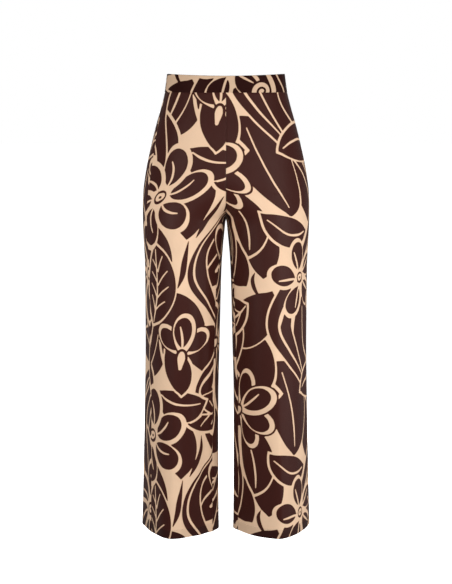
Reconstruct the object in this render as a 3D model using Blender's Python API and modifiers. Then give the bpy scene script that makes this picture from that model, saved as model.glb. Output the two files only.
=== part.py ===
"""Palazzo trousers: a high waist on a straight waistband, and two wide straight legs.

The garment hangs filled out, as if worn, with the waist and both hems open. Everything is in
metres. The origin is the centre of the waist opening, level with the top of the waistband at the
sides. +Z is up, the front faces -Y, and the wearer's left is at +X.

Each leg is a tube of cloth. Its cross-section at any height is an oval given by its four extreme
points: outer, inner, front and back. Higher up, the two ovals run into each other and the plane
x = 0 cuts them, which draws the rise seam: down the centre front, under the fork and up the
centre back.
"""

from collections import namedtuple
from math import asin
from math import cos
from math import degrees
from math import radians
from math import sin
from math import tan

import bpy
from mathutils import Vector

NAME = "palazzo_pants"

# Driving sizes.
WAISTBAND_HEIGHT = 0.042
FORK_DROP = 0.330
WAIST_DIP = 0.0045
CLOTH = 0.0015
WAISTBAND_CLOTH = 0.0022
GAP = 0.0003

# The walls lean at the waist seam, so their edges are a little further apart there.
WAIST_SEAM_GAP = 0.00042

# The waistband lies this far outside the panels, because it is sewn on top of their edge.
BAND_PROUD = 0.0006

# Where the inseams end up on the ovals, in degrees from the foremost point, positive outwards.
INSEAM = {"left": -70.0, "right": -64.0}

# Below the fork the inseam moves forward from the innermost point over this length.
INSEAM_SETTLE = 0.16

# Where the four seams meet under the fork, the edges of the panels stand this much further apart.
FORK_OPENING = 0.0008
FORK_OPENING_REACH = 0.012

# A small step along the oval, in degrees, that gives its direction at a seam.
TANGENT_STEP = 0.01

# Grid of each panel. The rows crowd together towards the fork, where the shape changes most.
ROWS_ABOVE_FORK = 14
ROWS_BELOW_FORK = 19
ROW_CROWDING = 1.6
FRONT_COLUMNS = 12
BACK_COLUMNS = 16
BAND_ROWS = 2
BAND_COLUMNS = 22

# Sections of the left leg, from the top of the waistband down. drop is the depth below the top.
# An inner_x below zero lies across the middle, where the other leg's oval takes over. flat says how
# far the oval's four quarters are flattened towards straight lines, and the last two columns say
# where the side seams lie, in degrees from the foremost point.
Section = namedtuple(
    "Section",
    "drop outer_x outer_y inner_x inner_y front_x front_y back_x back_y flat left_seam right_seam",
)
SECTIONS = [
    Section(0.0000, 0.1350, 0.000, -0.1350, 0.000, 0.000, -0.0950, 0.000, 0.0990, 0.00, 90, 84),
    Section(0.0420, 0.1412, 0.000, -0.1412, 0.000, 0.000, -0.1000, 0.000, 0.1040, 0.00, 90, 83),
    Section(0.0800, 0.1508, 0.001, -0.1508, 0.000, 0.000, -0.1050, 0.000, 0.1110, 0.00, 90, 80),
    Section(0.1200, 0.1625, 0.002, -0.1625, 0.000, 0.000, -0.1105, 0.000, 0.1190, 0.00, 90, 76),
    Section(0.1600, 0.1725, 0.003, -0.1725, 0.000, 0.001, -0.1145, 0.004, 0.1260, 0.00, 90, 72),
    Section(0.2000, 0.1818, 0.004, -0.1500, 0.000, 0.008, -0.1175, 0.016, 0.1310, 0.00, 90, 69),
    Section(0.2400, 0.1890, 0.005, -0.1050, -0.001, 0.026, -0.1190, 0.040, 0.1325, 0.00, 90, 67),
    Section(0.2700, 0.1928, 0.006, -0.0680, -0.002, 0.048, -0.1192, 0.062, 0.1310, 0.00, 90, 66),
    Section(0.3000, 0.1942, 0.007, -0.0320, -0.003, 0.074, -0.1188, 0.080, 0.1275, 0.00, 90, 65),
    Section(0.3180, 0.1944, 0.008, -0.0110, -0.004, 0.086, -0.1182, 0.088, 0.1245, 0.00, 90, 64),
    Section(0.3300, 0.1945, 0.009, 0.0000, -0.005, 0.091, -0.1178, 0.091, 0.1225, 0.00, 90, 64),
    Section(0.3450, 0.1944, 0.010, 0.0018, -0.006, 0.095, -0.1172, 0.094, 0.1200, 0.01, 90, 63),
    Section(0.3900, 0.1926, 0.012, 0.0062, -0.008, 0.100, -0.1158, 0.097, 0.1150, 0.04, 90, 62),
    Section(0.4500, 0.1904, 0.014, 0.0104, -0.010, 0.104, -0.1145, 0.100, 0.1110, 0.08, 90, 61),
    Section(0.6200, 0.1897, 0.019, 0.0148, -0.012, 0.110, -0.1125, 0.103, 0.1070, 0.18, 90, 59),
    Section(0.7600, 0.1918, 0.023, 0.0180, -0.011, 0.116, -0.1115, 0.106, 0.1075, 0.28, 90, 56),
    Section(0.9200, 0.1960, 0.027, 0.0180, -0.010, 0.122, -0.1110, 0.110, 0.1095, 0.37, 90, 53),
    Section(1.0745, 0.2003, 0.030, 0.0170, -0.009, 0.126, -0.1110, 0.113, 0.1120, 0.42, 90, 51),
]

# Colour, roughness of each piece's cloth.
BROWN = (0.060, 0.022, 0.017, 1.0)
BROWN_BAND = (0.050, 0.019, 0.015, 1.0)
ROUGHNESS = 0.62


def hermite(low, high, slope_low, slope_high, step, share):
    """A smooth value between low and high, where the curve has the two slopes."""
    square = share * share
    cube = square * share
    return (
        (2 * cube - 3 * square + 1) * low
        + (cube - 2 * square + share) * step * slope_low
        + (3 * square - 2 * cube) * high
        + (cube - square) * step * slope_high
    )


def rate(index, column):
    """How fast one column of SECTIONS changes from one row to the next."""
    above = SECTIONS[index]
    below = SECTIONS[index + 1]
    return (below[column] - above[column]) / (below.drop - above.drop)


def slope(index, column):
    """The slope of one column at one row, never so steep that the curve overshoots a row."""
    if index == 0:
        return rate(0, column)
    if index == len(SECTIONS) - 1:
        return rate(index - 1, column)
    before = rate(index - 1, column)
    after = rate(index, column)
    if before * after <= 0:
        return 0.0
    return 2 * before * after / (before + after)


def section_at(drop):
    """The section at any depth, on smooth curves through the rows of SECTIONS."""
    index = 0
    while index < len(SECTIONS) - 2 and drop > SECTIONS[index + 1].drop:
        index += 1
    above = SECTIONS[index]
    below = SECTIONS[index + 1]
    step = below.drop - above.drop
    share = (drop - above.drop) / step
    values = [
        hermite(above[c], below[c], slope(index, c), slope(index + 1, c), step, share)
        for c in range(1, len(above))
    ]
    return Section(drop, *values)


def flattened(share, flat):
    """A sine or cosine, pulled towards its square by flat: squares alone draw a straight line."""
    return (1 - flat) * share + flat * share * abs(share)


def oval_point(section, angle):
    """The point of a section at an angle from its foremost point, positive outwards."""
    across = flattened(sin(radians(angle)), section.flat)
    along = flattened(cos(radians(angle)), section.flat)
    middle_x = section.front_x if along > 0 else section.back_x
    side_x = section.outer_x if across > 0 else section.inner_x
    side_y = section.outer_y if across > 0 else section.inner_y
    end_y = section.front_y if along > 0 else section.back_y
    x = middle_x + (side_x - middle_x) * abs(across)
    y = side_y + (end_y - side_y) * abs(along)
    return Vector((x, y))


def rise_angle(section, middle_x):
    """How far round, in degrees, the oval runs from its middle line to the plane x = 0."""
    reach = middle_x - section.inner_x
    return degrees(asin(min(middle_x / reach, 1.0)))


def inner_edges(drop, side):
    """The angles at which the front and the back panel start, at the rise seam or the inseam."""
    section = section_at(drop)
    if drop < FORK_DROP:
        return -rise_angle(section, section.front_x), 180.0 + rise_angle(section, section.back_x)
    share = min((drop - FORK_DROP) / INSEAM_SETTLE, 1.0)
    eased = share * share * (3 - 2 * share)
    angle = -90.0 + (INSEAM[side] + 90.0) * eased
    return angle, 360.0 + angle


def row_drop(share):
    """The depth of a row of a panel, from 0 at the waist seam to 1 at the hem."""
    fork_share = ROWS_ABOVE_FORK / (ROWS_ABOVE_FORK + ROWS_BELOW_FORK)
    top = WAISTBAND_HEIGHT + WAIST_SEAM_GAP
    if share < fork_share:
        left = 1 - share / fork_share
        return FORK_DROP - (FORK_DROP - top) * left**ROW_CROWDING
    left = (share - fork_share) / (1 - fork_share)
    return FORK_DROP + (SECTIONS[-1].drop - FORK_DROP) * left**ROW_CROWDING


def pulled_in(section, first, last, columns, wall, opening=0.0):
    """One row of points between two angles, with its ends drawn in to leave the gap at a seam.

    The wall's inner face turns towards the seam where the oval is curved, so the ends are drawn in
    by that much more. opening is added at the first end only.
    """
    step = (last - first) / columns
    points = [oval_point(section, first + step * column) for column in range(columns + 1)]
    ends = ((0, 1, first, opening), (columns, columns - 1, last, 0.0))
    moved = {}
    for end, beside, angle, extra in ends:
        inwards = points[beside] - points[end]
        nudge = TANGENT_STEP if (step > 0) == (end == 0) else -TANGENT_STEP
        tangent = oval_point(section, angle + nudge) - points[end]
        lean = tan(inwards.angle(tangent))
        moved[end] = points[end] + inwards.normalized() * (GAP / 2 + wall * lean + extra)
    return [moved.get(index, point) for index, point in enumerate(points)]


def panel_row(drop, side, is_front, columns):
    """The points of one row of a leg panel, as seen on the left leg, outwards from the inseam."""
    section = section_at(drop)
    from_fork = min(abs(drop - FORK_DROP) / FORK_OPENING_REACH, 1.0)
    opening = FORK_OPENING * (1 - from_fork)
    front_start, back_start = inner_edges(drop, side)
    start = front_start if is_front else back_start
    seam = section.left_seam if side == "left" else section.right_seam
    return pulled_in(section, start, seam, columns, CLOTH, opening)


def waist_dip(x, drop):
    """How far the top of the waistband dips below its side points, fading out down the band."""
    fade = max(1 - drop / WAISTBAND_HEIGHT, 0.0)
    return WAIST_DIP * fade * (1 - (x / SECTIONS[0].outer_x) ** 2)


def cloth_material(name, colour):
    """A plain cloth finish for one piece."""
    material = bpy.data.materials.new(name)
    material.use_nodes = True
    shader = material.node_tree.nodes["Principled BSDF"]
    shader.inputs["Base Color"].default_value = colour
    shader.inputs["Roughness"].default_value = ROUGHNESS
    shader.inputs["Metallic"].default_value = 0.0
    return material


def new_sheet(name, columns, rows, colour):
    """A flat grid, one unit square, that a piece's shape is then given to."""
    bpy.ops.mesh.primitive_grid_add(x_subdivisions=columns, y_subdivisions=rows, size=1.0)
    sheet = bpy.context.object
    sheet.name = name
    sheet.data.name = name
    sheet.data.materials.append(cloth_material(name + "_cloth", colour))
    for holder in list(sheet.users_collection):
        holder.objects.unlink(sheet)
    collection.objects.link(sheet)
    return sheet


def thicken(sheet, thickness):
    """Turns the shaped sheet into a wall that grows inwards from the outer face of the cloth."""
    wall = sheet.modifiers.new("wall", "SOLIDIFY")
    wall.thickness = thickness
    wall.offset = -1.0
    wall.use_even_offset = True
    sheet.data.shade_smooth()


def leg_panel(name, side, is_front):
    """One front or back panel of one leg, from the waist seam to the hem."""
    columns = FRONT_COLUMNS if is_front else BACK_COLUMNS
    rows = ROWS_ABOVE_FORK + ROWS_BELOW_FORK
    sheet = new_sheet(name, columns, rows, BROWN)
    mirror = 1 if side == "left" else -1
    shaped = {}
    for vertex in sheet.data.vertices:
        row = round((0.5 - vertex.co.y) * rows)
        column = round((0.5 + vertex.co.x) * columns)
        if row not in shaped:
            shaped[row] = panel_row(row_drop(row / rows), side, is_front, columns)
        point = shaped[row][column]
        vertex.co = (mirror * (point.x + GAP / 2), point.y, -row_drop(row / rows))
    faces_inwards = (side == "left") != is_front
    if faces_inwards:
        sheet.data.flip_normals()
    thicken(sheet, CLOTH)


def waistband_row(drop, is_front):
    """One row of half of the waistband, from the right side seam to the left one."""
    section = section_at(drop)
    first = -section.right_seam if is_front else 360.0 - section.right_seam
    points = pulled_in(section, first, section.left_seam, BAND_COLUMNS, WAISTBAND_CLOTH)
    return [point + point.normalized() * BAND_PROUD for point in points]


def waistband(name, is_front):
    """Half of the waistband, between the two side seams."""
    sheet = new_sheet(name, BAND_COLUMNS, BAND_ROWS, BROWN_BAND)
    for vertex in sheet.data.vertices:
        row = round((0.5 - vertex.co.y) * BAND_ROWS)
        column = round((0.5 + vertex.co.x) * BAND_COLUMNS)
        drop = WAISTBAND_HEIGHT * row / BAND_ROWS
        point = waistband_row(drop, is_front)[column]
        vertex.co = (point.x, point.y, -drop - waist_dip(point.x, drop))
    if not is_front:
        sheet.data.flip_normals()
    thicken(sheet, WAISTBAND_CLOTH)


for leftover in list(bpy.data.objects):
    bpy.data.objects.remove(leftover, do_unlink=True)

collection = bpy.data.collections.new(NAME)
bpy.context.scene.collection.children.link(collection)

for wearer_side in ("left", "right"):
    leg_panel("front_" + wearer_side, wearer_side, True)
    leg_panel("back_" + wearer_side, wearer_side, False)
waistband("waistband_front", True)
waistband("waistband_back", False)
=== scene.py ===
# %% [markdown]
# # Palazzo pants, cut and sewn in Blender
#
# These are high-waisted trousers with wide straight legs, in a smooth printed crepe. They are made
# here as a dressmaker makes them: four leg panels and a two-piece waistband, each cut from flat
# printed cloth, joined at seams and turned up at the hem. A cloth simulation could drape them, but on
# such a filled-out garment it blurs the seams, so each piece is a fine grid that is laid on the
# imported model's form, and its folds are given one by one.

# %% The imported model that everything is built on
import math

import bpy
import numpy as np
from mathutils import Matrix, Vector


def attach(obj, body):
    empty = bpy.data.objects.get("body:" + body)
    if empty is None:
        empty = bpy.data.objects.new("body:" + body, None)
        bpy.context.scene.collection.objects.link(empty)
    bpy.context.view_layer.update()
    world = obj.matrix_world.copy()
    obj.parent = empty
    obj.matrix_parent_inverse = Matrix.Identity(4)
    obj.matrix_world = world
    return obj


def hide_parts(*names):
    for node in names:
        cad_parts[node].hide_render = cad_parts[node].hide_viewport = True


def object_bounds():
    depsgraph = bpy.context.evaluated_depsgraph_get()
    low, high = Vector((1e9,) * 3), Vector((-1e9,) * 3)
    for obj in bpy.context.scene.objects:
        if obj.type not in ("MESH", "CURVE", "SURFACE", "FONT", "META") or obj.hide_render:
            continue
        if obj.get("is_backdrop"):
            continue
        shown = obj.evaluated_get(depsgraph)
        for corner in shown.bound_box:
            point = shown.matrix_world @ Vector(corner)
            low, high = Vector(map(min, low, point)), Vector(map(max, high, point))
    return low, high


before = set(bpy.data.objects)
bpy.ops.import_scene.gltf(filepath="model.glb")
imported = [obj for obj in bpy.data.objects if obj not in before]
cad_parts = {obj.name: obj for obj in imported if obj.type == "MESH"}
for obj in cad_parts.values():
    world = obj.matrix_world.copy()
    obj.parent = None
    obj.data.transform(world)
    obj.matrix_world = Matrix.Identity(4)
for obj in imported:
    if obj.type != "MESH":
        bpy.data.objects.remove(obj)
cad_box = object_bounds()
MM = 0.001
print("packed nodes:", ", ".join(sorted(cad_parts)))

# %% [markdown]
# ## The camera
#
# The trousers stand upright at waist height in front of a long lens, which keeps both legs equally
# wide. The camera is level with the waist and looks a little down, so the hems show as curves.

# %% A long lens at waist height
CAMERA_DISTANCE = 3.8
CAMERA_PITCH = 7.62      # degrees below the level
CAMERA_LENS = 100.54     # millimetres, on a frame 36 mm high
bpy.ops.object.camera_add(
    location=(0, -CAMERA_DISTANCE, 0), rotation=(math.radians(90 - CAMERA_PITCH), 0, 0)
)
camera = bpy.context.object
camera.name = "camera"
camera.data.sensor_fit = "VERTICAL"
camera.data.sensor_height = 36
camera.data.lens = CAMERA_LENS
bpy.context.scene.camera = camera
print("camera:", CAMERA_DISTANCE, "m in front, lens", CAMERA_LENS, "mm")

# %% [markdown]
# ## Helpers for node trees
#
# A material, or the world round the scene, is a tree of nodes with linked sockets. A node takes one
# line to make and one more for each value, so two helpers set all of a node's values in one call.
# What is the same all over a surface is set on the shader's own sockets.

# %% A node, and a material, with their values
def new_node(tree, kind, values=None, **settings):
    """A node in the tree, with its settings, and the values of its input sockets by name."""
    made = tree.nodes.new(kind)
    for setting, value in settings.items():
        setattr(made, setting, value)
    for socket, value in (values or {}).items():
        made.inputs[socket].default_value = value
    return made


def new_material(name, values):
    """A material and its shader, with the values of the shader's input sockets by name."""
    material = bpy.data.materials.new(name)
    material.use_nodes = True
    shader = material.node_tree.nodes["Principled BSDF"]
    for socket, value in values.items():
        shader.inputs[socket].default_value = value
    return material, shader


# %% [markdown]
# ## The studio
#
# A plain white floor, white surroundings and large soft lamps light the cloth evenly. The lamps are
# area lights, because their size is what makes shadows soft. The world seen by the camera is pure
# white, while the light it gives is weaker, so that the cloth keeps its form.

# %% Floor
WHITE = (1, 1, 1, 1)
FLOOR_LEVEL, FLOOR_SIZE = -1.45, 60
bpy.ops.mesh.primitive_plane_add(size=FLOOR_SIZE, location=(0, 0, FLOOR_LEVEL))
floor = bpy.context.object
floor.name = "studio_floor"
white_paper, _ = new_material("white_paper", {
    "Base Color": (0.80, 0.80, 0.80, 1), "Roughness": 0.9, "Specular IOR Level": 0.0,
    "Emission Color": WHITE, "Emission Strength": 0.95,
})
floor.data.materials.append(white_paper)
floor.visible_diffuse = False     # the glow of the paper doesn't light the cloth from below
floor.visible_glossy = False
floor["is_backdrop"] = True
print("floor at", FLOOR_LEVEL, "m")

# %% White surroundings
WORLD_LIGHT = 0.25
world = bpy.data.worlds.new("white_studio")
bpy.context.scene.world = world
world.use_nodes = True
sky = world.node_tree
sky.nodes.clear()
seen = new_node(sky, "ShaderNodeBackground", {"Color": WHITE, "Strength": 1.0})
lighting = new_node(sky, "ShaderNodeBackground", {"Color": WHITE, "Strength": WORLD_LIGHT})
ray = new_node(sky, "ShaderNodeLightPath")
choose = new_node(sky, "ShaderNodeMixShader")
sky_out = new_node(sky, "ShaderNodeOutputWorld")
sky.links.new(ray.outputs["Is Camera Ray"], choose.inputs["Fac"])
sky.links.new(lighting.outputs["Background"], choose.inputs[1])
sky.links.new(seen.outputs["Background"], choose.inputs[2])
sky.links.new(choose.outputs["Shader"], sky_out.inputs["Surface"])
print("world:", world.name, "with light of strength", WORLD_LIGHT)

# %% Soft lamps, all turned to the middle of the legs
LAMPS = [  # name, place, power in watts, size
    ("right_lamp", (1.29, -1.08, -0.26), 14.5, 0.7),
    ("left_lamp", (-1.29, -1.08, -0.26), 11.5, 0.7),
    ("front_lamp", (0.0, -2.97, -0.08), 23, 1.0),
    ("low_lamp", (1.62, -0.29, -0.94), 5.5, 0.7),
    ("back_lamp", (0.0, 3.0, 0.1), 78, 1.2),
]
MIDDLE_OF_LEGS = Vector((0, 0, -0.5))
for name, place, power, size in LAMPS:
    bpy.ops.object.light_add(type="AREA", location=place)
    lamp = bpy.context.object
    lamp.name = name
    lamp.data.energy = power
    lamp.data.size = size
    lamp.visible_camera = False
    lamp.rotation_euler = (MIDDLE_OF_LEGS - lamp.location).to_track_quat("-Z", "Y").to_euler()
bpy.context.scene.view_settings.view_transform = "Standard"
print("studio ready with", len(LAMPS), "lamps")

# %% [markdown]
# ## The form
#
# A cross-section of one leg is a soft oval. The table below gives the left leg's oval at some
# depths under the top of the waistband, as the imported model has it, and smooth curves run between
# the rows. An inner side below zero reaches across the middle, where the other leg takes over.

# %% Sections of the left leg, in metres and degrees
SECTION_NAMES = (
    "drop", "outer_x", "outer_y", "inner_x", "inner_y", "front_x", "front_y", "back_x", "back_y",
    "flat", "left_seam", "right_seam",
)
SECTIONS = np.array([
    (0.0000, 0.1350, 0.000, -0.1350, 0.000, 0.000, -0.0950, 0.000, 0.0990, 0.00, 90, 84),
    (0.0420, 0.1412, 0.000, -0.1412, 0.000, 0.000, -0.1000, 0.000, 0.1040, 0.00, 90, 83),
    (0.0800, 0.1508, 0.001, -0.1508, 0.000, 0.000, -0.1050, 0.000, 0.1110, 0.00, 90, 80),
    (0.1200, 0.1625, 0.002, -0.1625, 0.000, 0.000, -0.1105, 0.000, 0.1190, 0.00, 90, 76),
    (0.1600, 0.1725, 0.003, -0.1725, 0.000, 0.001, -0.1145, 0.004, 0.1260, 0.00, 90, 72),
    (0.2000, 0.1818, 0.004, -0.1500, 0.000, 0.008, -0.1175, 0.016, 0.1310, 0.00, 90, 69),
    (0.2400, 0.1890, 0.005, -0.1050, -0.001, 0.026, -0.1190, 0.040, 0.1325, 0.00, 90, 67),
    (0.2700, 0.1928, 0.006, -0.0680, -0.002, 0.048, -0.1192, 0.062, 0.1310, 0.00, 90, 66),
    (0.3000, 0.1942, 0.007, -0.0320, -0.003, 0.074, -0.1188, 0.080, 0.1275, 0.00, 90, 65),
    (0.3180, 0.1944, 0.008, -0.0110, -0.004, 0.086, -0.1182, 0.088, 0.1245, 0.00, 90, 64),
    (0.3300, 0.1945, 0.009, 0.0000, -0.005, 0.091, -0.1178, 0.091, 0.1225, 0.00, 90, 64),
    (0.3450, 0.1944, 0.010, 0.0018, -0.006, 0.095, -0.1172, 0.094, 0.1200, 0.01, 90, 63),
    (0.3900, 0.1926, 0.012, 0.0062, -0.008, 0.100, -0.1158, 0.097, 0.1150, 0.04, 90, 62),
    (0.4500, 0.1904, 0.014, 0.0104, -0.010, 0.104, -0.1145, 0.100, 0.1110, 0.08, 90, 61),
    (0.6200, 0.1897, 0.019, 0.0148, -0.012, 0.110, -0.1125, 0.103, 0.1070, 0.18, 90, 59),
    (0.7600, 0.1918, 0.023, 0.0180, -0.011, 0.116, -0.1115, 0.106, 0.1075, 0.28, 90, 56),
    (0.9200, 0.1960, 0.027, 0.0180, -0.010, 0.122, -0.1110, 0.110, 0.1095, 0.37, 90, 53),
    (1.0745, 0.2003, 0.030, 0.0170, -0.009, 0.126, -0.1110, 0.113, 0.1120, 0.42, 90, 51),
])
WAISTBAND_HEIGHT = 0.042
FORK_DROP = 0.330
HEM_DROP = SECTIONS[-1, 0]
HALF_GAP = 0.03 * MM
print("sections:", len(SECTIONS), "rows over", HEM_DROP, "m")


# %% Smooth curves through the table
def section_slopes():
    """The slope of each column at each row, never so steep that a curve overshoots a row."""
    rates = np.diff(SECTIONS[:, 1:], axis=0) / np.diff(SECTIONS[:, 0])[:, None]
    product = rates[:-1] * rates[1:]
    total = np.where(product > 0, rates[:-1] + rates[1:], 1.0)
    middle = np.where(product > 0, 2 * product / total, 0.0)
    return np.vstack([rates[:1], middle, rates[-1:]])


def sections_at(drops):
    """The oval's measures at each depth, each one as a column of numbers."""
    index = np.clip(np.searchsorted(SECTIONS[:, 0], drops) - 1, 0, len(SECTIONS) - 2)
    step = (SECTIONS[index + 1, 0] - SECTIONS[index, 0])[:, None]
    share = (drops - SECTIONS[index, 0])[:, None] / step
    low, high = SECTIONS[index, 1:], SECTIONS[index + 1, 1:]
    slopes = section_slopes()
    square, cube = share**2, share**3
    values = (
        (2 * cube - 3 * square + 1) * low
        + (cube - 2 * square + share) * step * slopes[index]
        + (3 * square - 2 * cube) * high
        + (cube - square) * step * slopes[index + 1]
    )
    return {name: values[:, [place]] for place, name in enumerate(SECTION_NAMES[1:])}


def flattened(share, flat):
    """A sine or cosine, pulled towards its square: squares alone would draw a straight line."""
    return (1 - flat) * share + flat * share * np.abs(share)


def oval(section, angles):
    """Points of the ovals at angles in degrees from the foremost point, positive outwards."""
    across = flattened(np.sin(np.radians(angles)), section["flat"])
    along = flattened(np.cos(np.radians(angles)), section["flat"])
    middle_x = np.where(along > 0, section["front_x"], section["back_x"])
    side_x = np.where(across > 0, section["outer_x"], section["inner_x"])
    side_y = np.where(across > 0, section["outer_y"], section["inner_y"])
    end_y = np.where(along > 0, section["front_y"], section["back_y"])
    x = middle_x + (side_x - middle_x) * np.abs(across)
    y = side_y + (end_y - side_y) * np.abs(along)
    return x, y


hem_x, hem_y = oval(sections_at(np.array([HEM_DROP])), np.linspace(0, 360, 361)[None, :])
print("hem:", round(float(np.hypot(np.diff(hem_x), np.diff(hem_y)).sum()), 3), "m round")

# %% Two curves that soften everything, and where the panels meet
INSEAM = {"left": -70.0, "right": -64.0}     # the inseams' angles, from this far below the fork
INSEAM_SETTLE = 0.16


def smooth_step(low, high, value):
    """0 below low, 1 above high, and a soft slope between."""
    share = np.clip((value - low) / (high - low), 0, 1)
    return share * share * (3 - 2 * share)


def bell(value, width):
    """A soft hump: 1 at nought, a third at the width, and hardly anything at twice the width."""
    return np.exp(-((value / width) ** 2))


def panel_edges(drops, side, word):
    """The angles at which a leg panel starts, at the rise or inseam, and ends, at the side seam."""
    section = sections_at(drops)
    middle = section[word + "_x"]
    rise = np.degrees(np.arcsin(np.minimum(middle / (middle - section["inner_x"]), 1.0)))
    settled = smooth_step(FORK_DROP, FORK_DROP + INSEAM_SETTLE, drops)[:, None]
    inseam = -90.0 + (INSEAM[side] + 90.0) * settled
    above = drops[:, None] < FORK_DROP
    if word == "front":
        start = np.where(above, -rise, inseam)
    else:
        start = np.where(above, 180.0 + rise, 360.0 + inseam)
    return start, section[side + "_seam"]


# %% [markdown]
# ## Folds
#
# Crepe of this weight hangs nearly smooth. What it shows is broad, shallow flutes down each leg, drag
# lines that fan out from the fork, small gathers just below the waistband and a slight pucker along
# the seams. Each fold is a soft trough or ridge along a line of points, listed one by one, uneven,
# with like ones on the sides and the back. A fold is a height added along the outward direction, so it
# follows the leg's own form and stays a shape in the mesh.

# %% The list of folds
# Each is the leg, its line of (drop, angle) points, its half width and its height in millimetres.
# Angles are 0 at the front, 90 at the outer side, 180 at the back and 270 at the inner side.
FOLDS = [
    # drag lines from the fork over the front of the thighs
    ("right", [(0.250, -12), (0.285, -40), (0.325, -66)], 13, -1.8),
    ("right", [(0.262, 8), (0.300, -26), (0.345, -62)], 14, 1.2),
    ("left", [(0.256, -10), (0.292, -42), (0.328, -70)], 13, -1.8),
    ("left", [(0.270, 14), (0.312, -24), (0.352, -60)], 15, 1.2),
    # drag lines under the seat
    ("right", [(0.270, 205), (0.310, 228), (0.350, 252)], 14, -2.8),
    ("right", [(0.300, 178), (0.345, 212), (0.400, 244)], 17, 1.9),
    ("right", [(0.335, 170), (0.390, 205), (0.460, 238)], 15, -2.2),
    ("left", [(0.268, 202), (0.306, 226), (0.346, 254)], 14, -2.6),
    ("left", [(0.296, 176), (0.350, 210), (0.396, 246)], 17, 2.0),
    ("left", [(0.345, 168), (0.400, 206), (0.470, 240)], 15, -2.0),
    # long flutes down the front of the legs, some of which slant towards the inseam
    ("right", [(0.44, 27), (0.65, 29), (0.84, 26), (1.10, 20)], 17, 1.6),
    ("right", [(0.50, 1), (0.65, -4), (0.77, -10), (0.87, -16), (0.99, -24), (1.10, -29)], 11, -2.4),
    ("right", [(0.50, -18), (0.65, -23), (0.77, -28), (0.87, -34), (0.97, -41), (1.10, -48)], 10, 1.7),
    ("right", [(0.26, 8), (0.37, -21), (0.49, -31), (0.63, -40), (0.78, -46), (1.10, -52)], 9, -1.9),
    ("right", [(0.36, -30), (0.49, -45), (0.64, -53), (0.85, -58), (1.10, -62)], 9, 1.4),
    ("left", [(0.33, -6), (0.49, -20), (0.61, -26), (0.73, -36), (0.85, -41), (1.10, -36)], 21, 2.8),
    ("left", [(0.40, -46), (0.52, -52), (0.64, -58), (0.78, -68), (1.10, -66)], 14, -2.2),
    ("left", [(0.36, 20), (0.58, 18), (0.75, 15), (1.10, 14)], 11, -0.9),
    ("left", [(0.38, 42), (0.59, 42), (0.75, 40), (1.10, 40)], 14, 1.0),
    # and down the sides and the back
    ("right", [(0.34, 70), (0.60, 72), (0.88, 66), (1.10, 68)], 13, -1.5),
    ("right", [(0.40, 92), (0.66, 95), (1.10, 90)], 15, 1.6),
    ("right", [(0.46, 116), (0.70, 112), (0.90, 114), (1.10, 120)], 13, -2.0),
    ("right", [(0.36, 140), (0.62, 136), (0.90, 142), (1.10, 146)], 14, 1.9),
    ("right", [(0.44, 162), (0.70, 166), (0.92, 172), (1.10, 176)], 12, -2.3),
    ("right", [(0.50, 186), (0.80, 190), (1.10, 198)], 13, 1.9),
    ("right", [(0.46, 214), (0.66, 216), (0.88, 222), (1.10, 224)], 11, -2.1),
    ("right", [(0.48, 238), (0.80, 242), (1.10, 246)], 12, 1.6),
    ("left", [(0.36, 68), (0.62, 66), (0.92, 68), (1.06, 67)], 13, -1.5),
    ("left", [(0.42, 96), (0.74, 100), (1.10, 97)], 16, 1.7),
    ("left", [(0.38, 124), (0.66, 128), (0.88, 125), (1.10, 127)], 13, -2.2),
    ("left", [(0.46, 150), (0.76, 146), (1.10, 149)], 15, 1.8),
    ("left", [(0.40, 172), (0.60, 168), (0.84, 162), (1.10, 158)], 12, -2.4),
    ("left", [(0.52, 196), (0.78, 192), (1.10, 186)], 14, 1.8),
    ("left", [(0.44, 220), (0.72, 216), (1.10, 212)], 12, -2.0),
    ("left", [(0.54, 246), (0.84, 242), (1.10, 238)], 12, 1.5),
    # soft hollows over the hips
    ("right", [(0.10, 62), (0.17, 58), (0.25, 60)], 16, -1.3),
    ("left", [(0.11, 70), (0.19, 64), (0.27, 66)], 17, -1.2),
    ("right", [(0.09, 132), (0.17, 138), (0.25, 134)], 20, -1.5),
    ("left", [(0.10, 136), (0.18, 132), (0.26, 137)], 20, -1.4),
]
# Gathers below the waistband: the leg, angle, length and height in millimetres.
GATHERS = [
    ("right", 70, 30, 0.9), ("right", 62, 24, -0.8), ("right", 55, 36, 0.9), ("right", 46, 22, -0.6),
    ("right", 34, 28, 0.6), ("left", 72, 24, 0.7), ("left", 60, 30, -0.7), ("left", 47, 20, 0.5),
    ("right", 104, 30, 0.9), ("right", 118, 24, -0.8), ("right", 131, 34, 1.0),
    ("right", 146, 26, -0.8), ("right", 160, 30, 0.7), ("left", 102, 28, 0.8),
    ("left", 116, 32, -0.9), ("left", 128, 24, 0.8), ("left", 143, 34, -0.9), ("left", 158, 28, 0.8),
]
print("folds:", len(FOLDS), "and", len(GATHERS), "gathers at the waist")

# %% What the folds add up to
GATHER_HALF_WIDTH = 7.0
GATHER_RISE = 4.0        # millimetres below the waistband in which a gather reaches its height
FOLD_START = 0.02        # metres before a fold's first point and past its last, where it begins
RADIUS = 0.105           # of a leg, about, to turn degrees into millimetres
MM_PER_DEGREE = math.radians(1) * RADIUS / MM


def apart(angles, line):
    """How far points lie from a line's angle, in millimetres round the leg."""
    return np.abs((angles - line + 180.0) % 360.0 - 180.0) * MM_PER_DEGREE


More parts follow.
